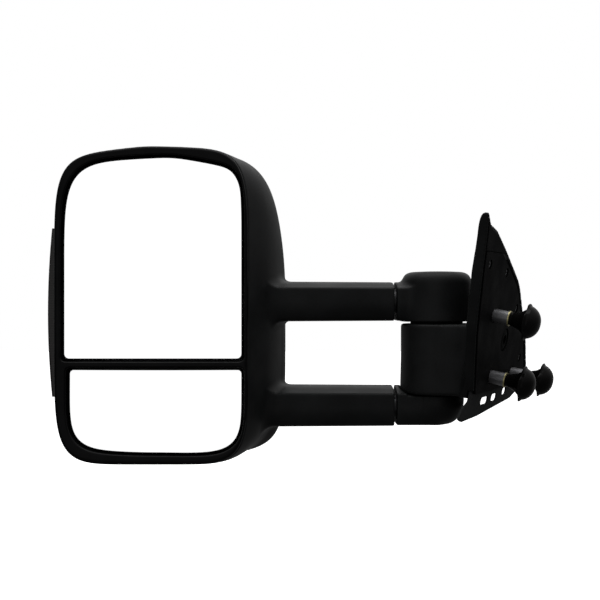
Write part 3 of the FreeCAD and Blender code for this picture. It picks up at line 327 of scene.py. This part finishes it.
def smoked(name):
    """Smoked acrylic with fine upright ribs under a polished face."""
    sheet = Sheet(name)
    wave = sheet.tree.nodes.new("ShaderNodeTexWave")
    wave.bands_direction = "Z"
    wave.inputs["Scale"].default_value = 130
    sheet.link(sheet.place, wave.inputs["Vector"])
    tint = sheet.mixed(wave.outputs["Fac"], (0.009, 0.0085, 0.0085), (0.016, 0.014, 0.0135))
    haze = sheet.noise(60, 3.0)
    return sheet.set(Base_Color=tint, Roughness=sheet.ramp(haze, 0.3, 0.7, 0.2, 0.3), Specular_IOR_Level=0.12,
                     Normal=sheet.bump(wave.outputs["Fac"], 0.05, 0.3), Coat_Weight=0.05, Coat_Roughness=0.12)


def rubber(name, colour):
    sheet = Sheet(name)
    cells = sheet.tree.nodes.new("ShaderNodeTexVoronoi")
    cells.inputs["Scale"].default_value = 1400
    sheet.link(sheet.place, cells.inputs["Vector"])
    cloud = sheet.noise(45, 4.0)
    tint = sheet.mixed(cloud, colour, tuple(c * 1.8 for c in colour))
    roughness = sheet.ramp(cloud, 0.3, 0.7, 0.5, 0.7)
    normal = sheet.bump(cells.outputs["Distance"], 0.05, 0.6)
    return sheet.set(Base_Color=tint, Roughness=roughness, Specular_IOR_Level=0.014, Normal=normal)


def board(name):
    """Circuit board: solder mask with faint tracks."""
    sheet = Sheet(name)
    tracks = sheet.tree.nodes.new("ShaderNodeTexBrick")
    tracks.inputs["Scale"].default_value = 260
    sheet.link(sheet.place, tracks.inputs["Vector"])
    tint = sheet.mixed(tracks.outputs["Fac"], (0.01, 0.09, 0.035), (0.05, 0.2, 0.08))
    return sheet.set(Base_Color=tint, Roughness=0.4, Normal=sheet.bump(tracks.outputs["Fac"], 0.03, 0.5))


# The last figure given to moulded_black, knob_black and black_casting lightens their convex edges as a
# painted highlight.
MATERIALS = {
    "moulded_black": moulding("moulded_black", (0.0036, 0.0038, 0.0039), 0.42, 0.05, painted_edge_highlight=0.004),
    "gloss_black": moulding("gloss_black", (0.0012, 0.0012, 0.0013), 0.2, 0.03, 0.9, 0.008),
    "knob_black": moulding("knob_black", (0.0016, 0.0015, 0.0015), 0.24, 0.04, 0.7, 0.008, 0.003),
    "mirror_glass": silvering("mirror_glass"),
    "smoked_lens": smoked("smoked_lens"),
    "black_casting": moulding("black_casting", (0.004, 0.0044, 0.0046), 0.36, 0.004, 0.9, 0.05, 0.006),
    "gasket_rubber": rubber("gasket_rubber", (0.0012, 0.0012, 0.0013)),
    "bare_steel": metal("bare_steel", (0.115, 0.115, 0.12), 0.42, (1, 1, 5)),
    "yellow_zinc": metal("yellow_zinc", (0.3, 0.27, 0.14), 0.38, (4, 1, 1)),
    "arm_tube": metal("arm_tube", (0.03, 0.03, 0.031), 0.35, (0.05, 1, 1)),
    "nylon": moulding("nylon", (0.55, 0.53, 0.47), 0.45, 0.4, 0.6, 0.02),
    "grey_moulding": moulding("grey_moulding", (0.05, 0.05, 0.053), 0.55, 0.35, 0.7, 0.03),
    "circuit": board("circuit"),
    "heater_film": moulding("heater_film", (0.35, 0.18, 0.045), 0.4, 0.4, 0.5, 0.01),
}


def dress(thing, slot):
    thing.data.materials.clear()
    thing.data.materials.append(MATERIALS[slot])


for part in frame["record"]["subparts"]:
    dress(frame["nodes"][part["node"]], part["material_slot"])


def finished(piece, slot, body, *replaced):
    """Give a new piece its material, its body and the CAD nodes that it stands for."""
    dress(piece, slot)
    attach(piece, body)
    if replaced:
        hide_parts(*replaced)
    return piece


# ---------------------------------------------------------------- arms

# Forward, up, and how much each corner of the section is eased, seen from the arm's open end.
ARM_CORNERS = [(-22, 12.6), (-22, -9), (-17, -18.85), (17, -18.85), (22, -9), (22, 12.4), (15, 19), (8, 19),
               (-6, 17.7)]
ARM_BLENDS = [1, 4, 4, 4, 6, 5, 3, 2, 1.5]
UPPER_TUBE_LOW, UPPER_TUBE_HIGH = span("upper_arm_tube")
LOWER_TUBE_LOW, LOWER_TUBE_HIGH = span("lower_arm_tube")
UPPER_TUBE = (UPPER_TUBE_LOW[2] + UPPER_TUBE_HIGH[2]) / 2
LOWER_TUBE = (LOWER_TUBE_LOW[2] + LOWER_TUBE_HIGH[2]) / 2
TUBE_RADIUS = (UPPER_TUBE_HIGH[2] - UPPER_TUBE_LOW[2]) / 2
UPPER_ARM = UPPER_TUBE
LOWER_ARM = LOWER_TUBE + 2
BARREL_LOW, BARREL_TOP, BARREL_RADIUS = -38.5, 30.5, 35.5
# Outer forms of the two knuckles and the pockets that clear the fold's inner parts.
UPPER_DRUM_RADIUS, UPPER_DRUM_EDGE = 34.5, 11
UPPER_DRUM_BORE, UPPER_BUSH_BORE = 24, 14.1
UPPER_POCKET_LOW, UPPER_POCKET_TOP = 41, 78
LOWER_END_FOOT, LOWER_END_SPREAD, LOWER_END_HEIGHT = 8, 19, 24.0
LOWER_NOSE_BACK, LOWER_NOSE_RADIUS = -16, 22
LOWER_SHELF = -39.5
SWING_ROOM = 2.3
SADDLE_RADIUS, SADDLE_LOW, SADDLE_TOP = 22, -42, -36.5
POST_BORE, POST_LOW, POST_TOP = 15, -62.5, -30
TUBE_ROOM = 0.15
OUTSIDE = 99
KNUCKLE_STEP = 0.9


def arm_section(y, z):
    return facets(y, z, ARM_CORNERS, ARM_BLENDS) - 0.5


def cylinder(u, v, radius):
    return np.sqrt(u * u + v * v) - radius


def slot_between(value, low, high):
    return np.maximum(low - value, value - high)


def upper_knuckle_field(x, y, z):
    lx = x - FOLD[0]
    radius = cylinder(lx, y, UPPER_DRUM_RADIUS)
    top = UPPER_HIGH[2]
    dome = z - top + 0.0011 * (lx * lx + y * y)
    drum = np.maximum(soft_max(radius, dome, UPPER_DRUM_EDGE), UPPER_LOW[2] + 0.2 - z)
    arm = arm_section(y, z - UPPER_ARM)
    arm = np.maximum(arm, lx)
    solid = soft_min(arm, drum, 5)
    solid = soft_max(solid, UPPER_LOW[0] + 0.2 - x, 1)
    solid = soft_max(solid, UPPER_LOW[2] + 0.1 - z, 1.2)
    inside = np.maximum(cylinder(lx, y, UPPER_DRUM_BORE), slot_between(z, UPPER_POCKET_LOW, UPPER_POCKET_TOP))
    bush = np.maximum(cylinder(lx, y, UPPER_BUSH_BORE), z - 45)
    socket = np.maximum(cylinder(y, z - UPPER_TUBE, TUBE_RADIUS + TUBE_ROOM), x - UPPER_TUBE_HIGH[0] - 1)
    return np.maximum(solid, -np.minimum(np.minimum(inside, bush), socket))


def lower_knuckle_field(x, y, z):
    lx = x - FOLD[0]
    low = LOWER_LOW[2]
    rise = np.clip((z - low) / LOWER_END_HEIGHT, 0, 1)
    reach = LOWER_END_FOOT + LOWER_END_SPREAD * np.sqrt(np.clip(1 - (1 - rise) ** 2, 0.004, 1))
    round_end = np.hypot(lx, y) - reach
    round_end = np.maximum(round_end * 0.75, low - z)
    arm = arm_section(y, z - LOWER_ARM)
    nose = np.hypot(lx - LOWER_NOSE_BACK, y) - LOWER_NOSE_RADIUS
    nose = np.where(lx > LOWER_NOSE_BACK, nose, -OUTSIDE)
    solid = soft_min(np.maximum(arm, nose), round_end, 5)
    solid = np.maximum(solid, np.where(lx > -20, z - LOWER_SHELF, -OUTSIDE))
    swing = np.maximum(cylinder(lx, y, BARREL_RADIUS + SWING_ROOM), LOWER_SHELF - z)
    solid = soft_max(solid, -swing, 1.2)
    saddle = np.maximum(cylinder(lx, y, SADDLE_RADIUS), slot_between(z, SADDLE_LOW, SADDLE_TOP))
    solid = np.minimum(solid, saddle)
    solid = soft_max(solid, LOWER_LOW[0] + 0.2 - x, 1)
    solid = soft_max(solid, low + 0.1 - z, 1.5)
    inside = np.maximum(cylinder(lx, y, POST_BORE), slot_between(z, POST_LOW, POST_TOP))
    socket = np.maximum(cylinder(y, z - LOWER_TUBE, TUBE_RADIUS + TUBE_ROOM), x - LOWER_TUBE_HIGH[0] - 1)
    return np.maximum(solid, -np.minimum(inside, socket))


upper_knuckle = meshed("upper_knuckle_skin", UPPER_LOW - 2, UPPER_HIGH + 2, KNUCKLE_STEP, upper_knuckle_field)
finished(upper_knuckle, "moulded_black", "arm", "upper_knuckle")
lower_knuckle = meshed("lower_knuckle_skin", LOWER_LOW - 2, LOWER_HIGH + 2, KNUCKLE_STEP, lower_knuckle_field)
finished(lower_knuckle, "moulded_black", "arm", "lower_knuckle", "pivot_plug")

# ---------------------------------------------------------------- head shell

# Depth, outboard side, inboard side, bottom, top, exponents of the four quarters, slopes of the brow.
SHELL_ROWS = np.array([
    (-54.8, -92.2, 92.2, -150.7, 150.7, 6.2, 6.6, 6.1, 6.4, 0.13, 0.04),
    (-25, -97, 110.9, -154, 150.6, 5.1, 5.4, 5.2, 4.6, 0.12, 0.04),
    (5, -99, 121.4, -152.6, 152.3, 4.2, 4.2, 4.3, 4.5, 0.1, 0.04),
    (32, -95, 125, -147, 144.5, 2.5, 3.6, 3.8, 6.3, 0.08, 0.03),
    (54, -80, 110, -129, 125, 2.4, 3, 3, 3.4, 0.05, 0.01),
    (70, -44, 68, -84, 80, 2.2, 2.3, 2.3, 2.3, 0, 0),
])
BROW = 15


def sag(dx, dz, high, drop_left, drop_right):
    """How far an arched brow has fallen at dx; it fades out down the sides."""
    fall = np.where(dx < 0, drop_left, drop_right) * (np.sqrt(dx * dx + BROW * BROW) - BROW)
    return fall * np.clip(2 * dz / high, 0, 1)


def shell_rows_at(depths):
    """The shell's section values on the smooth curve through the rows, at given depths."""
    count = len(SHELL_ROWS) - 1
    shares = np.linspace(0, count, 240)
    first = np.minimum(shares.astype(int), count - 1)
    part = (shares - first)[:, None]
    a, b, c, d = (SHELL_ROWS[np.clip(first + k, 0, count)] for k in (-1, 0, 1, 2))
    slope_in, slope_out = (c - a) / 2, (d - b) / 2
    table = ((2 * b - 2 * c + slope_in + slope_out) * part + 3 * c - 3 * b - 2 * slope_in - slope_out)
    table = (table * part + slope_in) * part + b
    return [np.interp(depths, table[:, 0], table[:, k]).astype(np.float32) for k in range(1, 11)]


SHELL_STEP = 1.1
SHELL_WALL = 2.4


def shell_field(x, y, z):
    left, right, low, top, ur, ul, ll, lr, drop_left, drop_right = shell_rows_at(y)
    dx = x - HEAD_X - (left + right) / 2
    dz = z - HEAD_Z - (low + top) / 2
    half_z = (top - low) / 2
    dz = dz + sag(dx, dz, half_z, drop_left, drop_right)
    form = super_ellipse(dx, dz, (right - left) / 2, half_z, (ur, ul, ll, lr))
    form = evened((form - 1) * 100, SHELL_STEP)
    form = soft_max(form, y - SHELL_HIGH[1], 14)
    grow = np.clip((SLEEVE_END - x) / 110, 0, 1) * 0.6
    uncapped = form
    for level in (UPPER_ARM, LOWER_ARM):
        sleeve = arm_section(y, z - level) - grow
        sleeve = np.maximum(sleeve, HEAD_X + 60 - x)
        uncapped = soft_min(uncapped, sleeve, 9)
    wall = np.maximum(uncapped, -(uncapped + SHELL_WALL))
    wall = soft_max(wall, SHELL_LOW[1] - y, 0.8)
    wall = soft_max(wall, x - SLEEVE_END, 1.2)
    window = np.maximum(np.maximum(np.abs(y + 29) - 12, np.abs(z - HEAD_Z + 7) - 81), x - HEAD_X + 85)
    return soft_max(wall, -window, 0.8)


shell = meshed("head_shell_skin", SHELL_LOW - 4, SHELL_HIGH + 4, SHELL_STEP, shell_field)
finished(shell, "moulded_black", "head", "head_shell")

# ---------------------------------------------------------------- bezel

BEZEL_POWERS = (6.2, 6.6, 6.1, 6.4)
BEZEL_STEP = 0.6
GLASS_GAP = 2.95
BEZEL_LIP = 1.6


def glass_field(lx, lz, left, middle, right, base, crown, powers, drops, foot):
    """Field of a glass outline: arched end, straight sides and a square end with eased corners."""
    side = 1 if crown > base else -1
    high = abs(crown - base)
    dx = lx - middle
    dz = (lz - base) * side
    dz = np.maximum(dz + sag(dx, dz, high, *drops), 0)
    half = np.where(dx > 0, right - middle, middle - left)
    power = np.where(dx > 0, powers[0], powers[1])
    form = ((np.abs(dx) / half) ** power + (dz / high) ** power) ** (1 / power)
    form = evened((form - 1) * 90, BEZEL_STEP)
    return soft_max(form, (foot - lz) * side, 6)


def bezel_field(x, y, z):
    lx = x - HEAD_X
    lz = z - HEAD_Z
    half_x = (BEZEL_HIGH[0] - BEZEL_LOW[0]) / 2
    half_z = (BEZEL_HIGH[2] - BEZEL_LOW[2]) / 2
    form = super_ellipse(lx, lz + sag(lx, lz, half_z, 0.13, 0.04), half_x, half_z, BEZEL_POWERS)
    form = evened((form - 1) * 100, BEZEL_STEP)
    front = BEZEL_LOW[1]
    hole = np.minimum(
        glass_field(lx, lz, -82.4, 15, 85, 10, 139.3, (9.9, 6), (0.064, 0.2), -50.2),
        glass_field(lx, lz, -77.4, 0, 84.9, -68, -138.7, (5.3, 5.4), (0.043, -0.02), -61.3)) - GLASS_GAP
    crown = front + 0.05 + 0.012 * np.clip(form + 6, -8, 8) ** 2
    flange = soft_max(form, crown - y, 3.2)
    flange = soft_max(flange, y - front - 5, 0.6)
    band = np.maximum(form + 3, slot_between(y, front + 3, BEZEL_HIGH[1]))
    return soft_max(np.minimum(flange, band), -hole, BEZEL_LIP)


bezel = meshed("bezel_skin", BEZEL_LOW - 2, BEZEL_HIGH + 2, BEZEL_STEP, bezel_field)
finished(bezel, "gloss_black", "head", "bezel_frame")

# ---------------------------------------------------------------- base cover, in the plane of the door face

COVER_EDGE = [
    (-121, 136, 1.5), (-113, 112, 40), (-106, 80, 80), (-91, 25, 80), (-66, -28, 40), (-60, -40, 4),
    (109, -40, 8), (128.5, -22, 6), (101.5, 11, 60), (32, 72, 90), (-39, 103, 90), (-81, 119.5, 40),
    (-105, 124, 5)]
SKIRT_EDGE = [
    (-63, -34, 1), (-66, -44, 2), (-81, -50, 1.5), (-88, -59, 2), (-76, -62.5, 5), (-28, -61.5, 60),
    (28, -57.5, 60), (86, -53.5, 30), (104.5, -48.5, 8), (122.5, -28, 5), (108, -22, 1)]
# Height up the sail and depth of its outboard face, which rounds over at the tip of the horn.
HORN = [(80, -12), (100, -10.8), (118, -10.2), (125, -9.6), (130, -8.2), (134, -5.4), (137, -1.2)]
COVER_STEP = 1.1
COVER_WALL = 3
# The horn is closed above this height, to just behind the door face, and a pad lies over the closing.
HORN_FLOOR, HORN_FILL = 94, -2.5
LINER_STEP, LINER_INSET, LINER_FOOT = 0.8, 2.2, 99.3
LINER_LOW, LINER_TOP = -2.8, -0.3


def half_plane(x, y, start, end):
    """Distance to the right of a line drawn in plan from start to end."""
    ux, uy = end[0] - start[0], end[1] - start[1]
    length = math.hypot(ux, uy)
    return ((x - start[0]) * uy - (y - start[1]) * ux) / length


def cover_field(a, b, n):
    turn = SAIL_TURN
    x, y, z = (turn[i, 0] * a + turn[i, 1] * b + turn[i, 2] * n for i in range(3))
    edge = outline_field(a, b, eased(COVER_EDGE))
    face = np.interp(b, *zip(*HORN))
    rounding = np.interp(b, (60, 130), (5, 2))
    sail = soft_max(edge, face - n, rounding)
    sail = np.maximum(sail, n + 1)
    radius = cylinder(x - FOLD[0], y, BARREL_RADIUS + 0.7 * np.clip(-z / 30, 0, 1))
    near = half_plane(x, y, (-36.4, -49.9), (-58, -35.2))
    far = half_plane(x, y, (-58, 35.2), (9.4, 40.1))
    plan = soft_max(soft_max(-near, -far, 2), -58 - x, 2)
    plan = soft_min(radius, plan, 10)
    neck = soft_max(soft_max(plan, z - BARREL_TOP, 3.2), BARREL_LOW - z, 3.2)
    neck = np.maximum(neck, n + 7)
    body = soft_min(neck, sail, 7)
    cavity = np.maximum(edge + COVER_WALL, face + COVER_WALL - n)
    bore = np.maximum(radius + COVER_WALL, slot_between(z, BARREL_LOW + COVER_WALL, BARREL_TOP - COVER_WALL))
    throat = np.maximum(radius + 8.5, 20 - z)
    foot = np.maximum(radius + 11.5, z + 30)
    notch = np.maximum(outline_field(a, b, eased(SKIRT_EDGE)) - 0.4, -6.4 - n)
    cavity = np.maximum(cavity, np.minimum(b - HORN_FLOOR, HORN_FILL - n))
    for hollow in (cavity, bore, throat, foot, notch):
        body = np.maximum(body, -hollow)
    return body


cover = meshed("base_cover_skin", (-128, -66, -100), (132, 140, 2), COVER_STEP, cover_field, SAIL_TURN)
finished(cover, "moulded_black", "base", "base_cover")


def liner_field(a, b, n):
    """Closing pad of the horn, level with the gasket and just above its top edge."""
    pad = np.maximum(outline_field(a, b, eased(COVER_EDGE)) + LINER_INSET, LINER_FOOT - b)
    return np.maximum(pad, slot_between(n, LINER_LOW, LINER_TOP))


liner = meshed("horn_liner", (-128, 92, -5), (0, 140, 2), LINER_STEP, liner_field, SAIL_TURN)
finished(liner, "gasket_rubber", "base")

# ---------------------------------------------------------------- hand knobs

# Half section of a knob: radius and height above the middle of its spigot.
KNOB_PROFILE = [
    (0, 10.1), (6.2, 10.1), (6.4, 13), (9, 20.5), (13.1, 25.8), (17.6, 26), (17.7, 26.6), (15.7, 28),
    (14.9, 30.4), (13.5, 32.8), (11.6, 35), (9.1, 36.8), (6.5, 38), (3.4, 38.7), (0, 38.9)]
KNOB_STEP = 0.55
FLUTES, FLUTE_CENTRE, FLUTE_RADIUS, FLUTE_FOOT = 4, 29.3, 14, 24.7
KNOB_BORE, KNOB_BORE_TOP = 4.1, 30.6


def knob_field(spin):
    def field(u, v, n):
        radius = np.hypot(u, v)
        form = outline_field(radius, n, KNOB_PROFILE + [(-6, 38.9), (-6, 10.1)])
        for i in range(FLUTES):
            angle = spin + math.pi * i / 2
            across, along = FLUTE_CENTRE * math.cos(angle), FLUTE_CENTRE * math.sin(angle)
            groove = cylinder(u - across, v - along, FLUTE_RADIUS)
            form = soft_max(form, -np.maximum(groove, FLUTE_FOOT - n), 0.8)
        return np.maximum(form, -np.maximum(radius - KNOB_BORE, n - KNOB_BORE_TOP))
    return field


for i, stud in enumerate(STUDS, start=1):
    field = knob_field(math.pi / 4 + 0.1 * (i - 1))
    knob = meshed("knob_skin_%d" % i, (-20, -20, 8), (20, 20, 41), KNOB_STEP, field, SAIL_TURN, stud)
    finished(knob, "knob_black", "knob_%d" % i, "hand_knob_%d" % i)

# ---------------------------------------------------------------- camera and studio


def studio():
    scene = bpy.context.scene
    lens = bpy.data.cameras.new("camera")
    lens.lens = 60
    lens.sensor_width = 36
    camera = bpy.data.objects.new("camera", lens)
    camera.location = (-0.19922, -1.0, 0.054)
    camera.rotation_euler = (math.radians(90), 0, 0)
    scene.collection.objects.link(camera)
    scene.camera = camera
    scene.view_settings.view_transform = "Standard"

    world = bpy.data.worlds.new("studio")
    scene.world = world
    world.use_nodes = True
    tree = world.node_tree
    out = tree.nodes["World Output"]
    back = tree.nodes["Background"]
    back.inputs["Color"].default_value = (1, 1, 1, 1)
    back.inputs["Strength"].default_value = 1.0
    place = tree.nodes.new("ShaderNodeTexCoord")
    split = tree.nodes.new("ShaderNodeSeparateXYZ")
    tree.links.new(place.outputs["Generated"], split.inputs["Vector"])
    climb = tree.nodes.new("ShaderNodeMapRange")
    climb.interpolation_type = "SMOOTHSTEP"
    climb.inputs["From Min"].default_value = -0.15
    climb.inputs["From Max"].default_value = 0.9
    climb.inputs["To Min"].default_value = 0.3
    climb.inputs["To Max"].default_value = 1.9
    tree.links.new(split.outputs["Z"], climb.inputs["Value"])
    soft = tree.nodes.new("ShaderNodeBackground")
    tree.links.new(climb.outputs["Result"], soft.inputs["Strength"])
    path = tree.nodes.new("ShaderNodeLightPath")
    mix = tree.nodes.new("ShaderNodeMixShader")
    tree.links.new(path.outputs["Is Camera Ray"], mix.inputs[0])
    tree.links.new(soft.outputs["Background"], mix.inputs[1])
    tree.links.new(back.outputs["Background"], mix.inputs[2])
    tree.links.new(mix.outputs["Shader"], out.inputs["Surface"])

    def panel(name, corners, strength, colour=(1, 1, 1)):
        mesh = bpy.data.meshes.new(name)
        mesh.from_pydata(corners, [], [tuple(range(len(corners)))])
        thing = bpy.data.objects.new(name, mesh)
        scene.collection.objects.link(thing)
        glow = bpy.data.materials.new(name)
        glow.use_nodes = True
        shader = glow.node_tree.nodes["Principled BSDF"]
        shader.inputs["Base Color"].default_value = (*colour, 1)
        shader.inputs["Roughness"].default_value = 0.9
        shader.inputs["Specular IOR Level"].default_value = 0.0
        shader.inputs["Emission Color"].default_value = (1, 1, 1, 1)
        shader.inputs["Emission Strength"].default_value = strength
        mesh.materials.append(glow)
        thing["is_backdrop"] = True
        return thing

    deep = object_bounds()[0][2] - 0.2
    half = 6
    corners = [(-half, -half, deep), (half, -half, deep), (half, half, deep), (-half, half, deep)]
    floor = panel("floor", corners, 0.75, (0.5, 0.5, 0.5))
    floor.visible_diffuse = False
    floor.visible_glossy = False
    left, right, depth, low, high = -1.5, -0.05, -1.7, -0.65, 0.7
    card = panel("card", [(left, depth, low), (right, depth, low), (right, depth, high), (left, depth, high)],
                 1.05, (0, 0, 0))
    card.visible_camera = False
    card.visible_diffuse = False
    card.visible_shadow = False

    def light(name, place, aim, wide, high, power):
        lamp = bpy.data.lights.new(name, "AREA")
        lamp.shape = "RECTANGLE"
        lamp.size = wide
        lamp.size_y = high
        lamp.energy = power
        thing = bpy.data.objects.new(name, lamp)
        thing.location = place
        thing.rotation_euler = (Vector(aim) - Vector(place)).to_track_quat("-Z", "Y").to_euler()
        thing.visible_camera = False
        scene.collection.objects.link(thing)
        return thing

    light("top_light", (-0.2, -0.15, 0.95), (-0.2, 0, 0.05), 1.1, 0.7, 10)
    light("back_light", (-0.35, 1.3, 0.5), (-0.2, 0, 0.05), 1.0, 0.8, 14).visible_glossy = False


studio()
